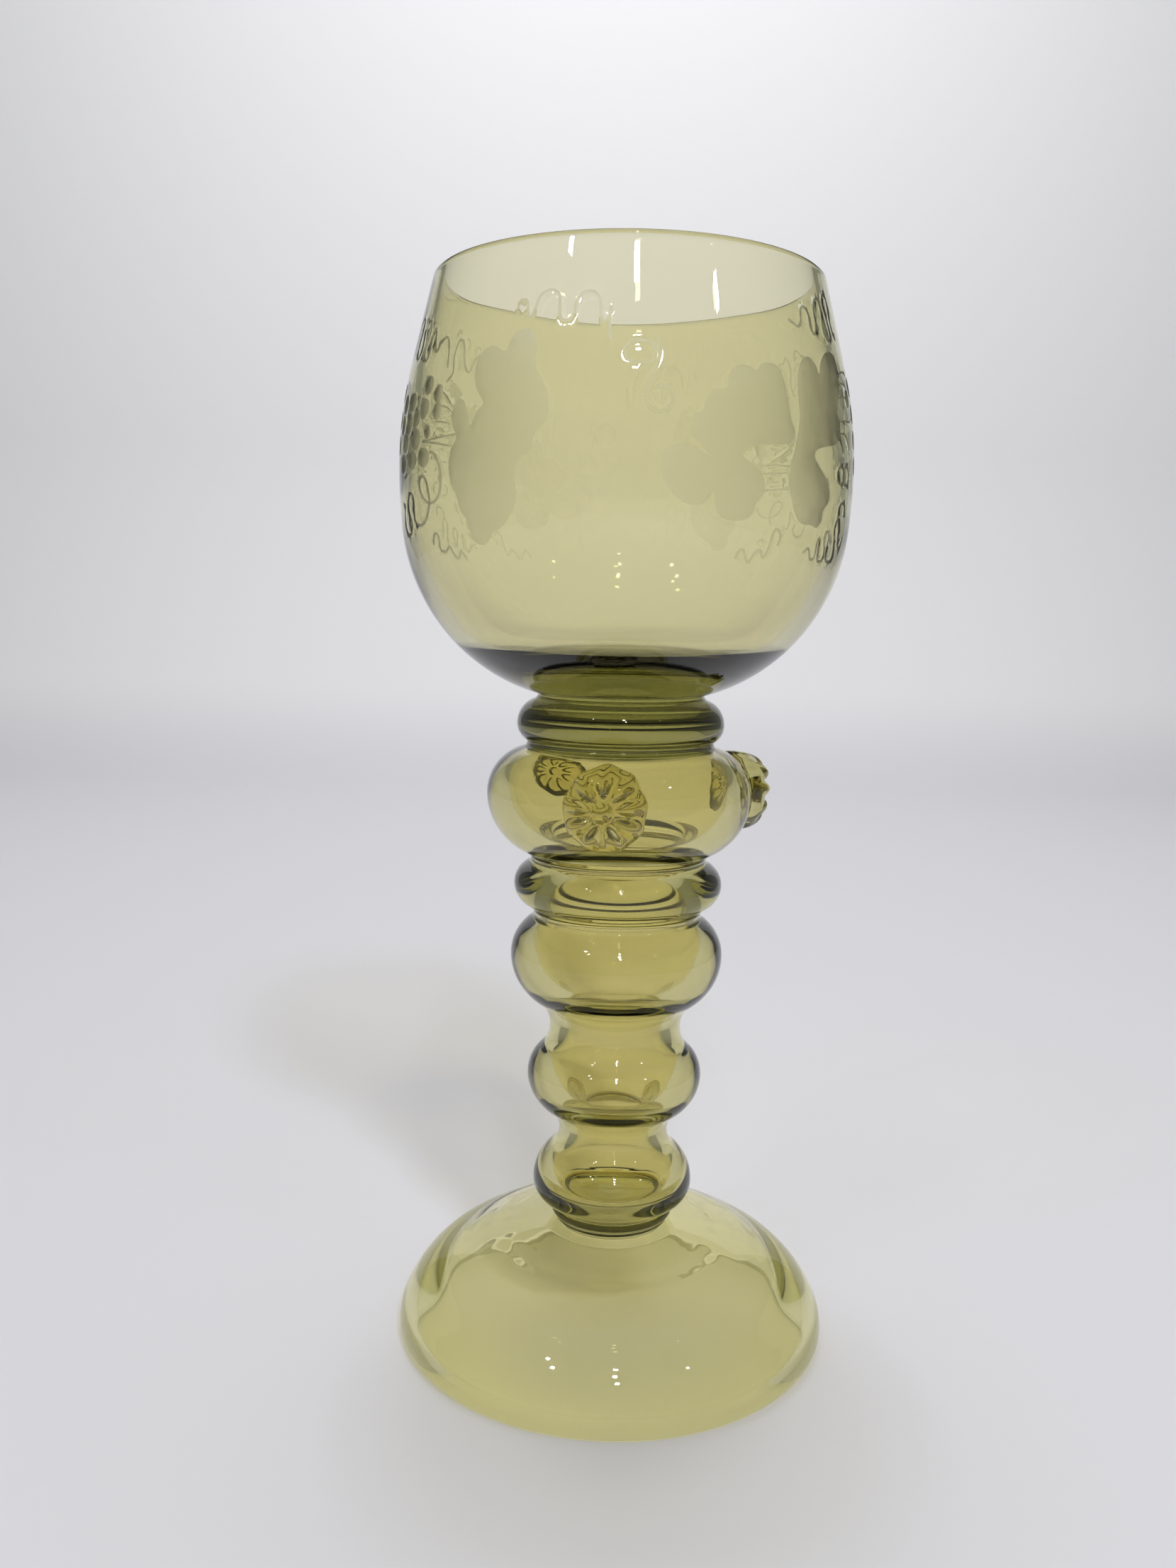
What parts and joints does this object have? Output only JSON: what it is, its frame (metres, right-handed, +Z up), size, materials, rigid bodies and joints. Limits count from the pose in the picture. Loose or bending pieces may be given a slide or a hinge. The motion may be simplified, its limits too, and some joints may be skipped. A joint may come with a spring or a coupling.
{
  "type": "roemer",
  "caption": "Roemer wine glass of olive-yellow glass with a vine-engraved barrel bowl, a hollow knopped stem with stamped prunts and a domed foot.",
  "frame": {"origin": "centre of the foot's resting ring, on the surface that it stands on", "axes": "+Z up along the axis of the glass, -Y towards the front prunt's side"},
  "size_m": [0.0794, 0.0794, 0.19],
  "materials": {
    "forest_glass": "fire-polished clear olive-yellow glass, the bowl wheel-engraved"
  },
  "bodies": {
    "root": {"foot": "forest_glass", "stem_collar": "forest_glass", "stem": "forest_glass", "lower_ring": "forest_glass", "prunted_knop": "forest_glass", "upper_ring": "forest_glass", "bowl": "forest_glass", "prunt_front": "forest_glass", "prunt_right": "forest_glass", "prunt_back": "forest_glass"}
  },
  "joints": []
}
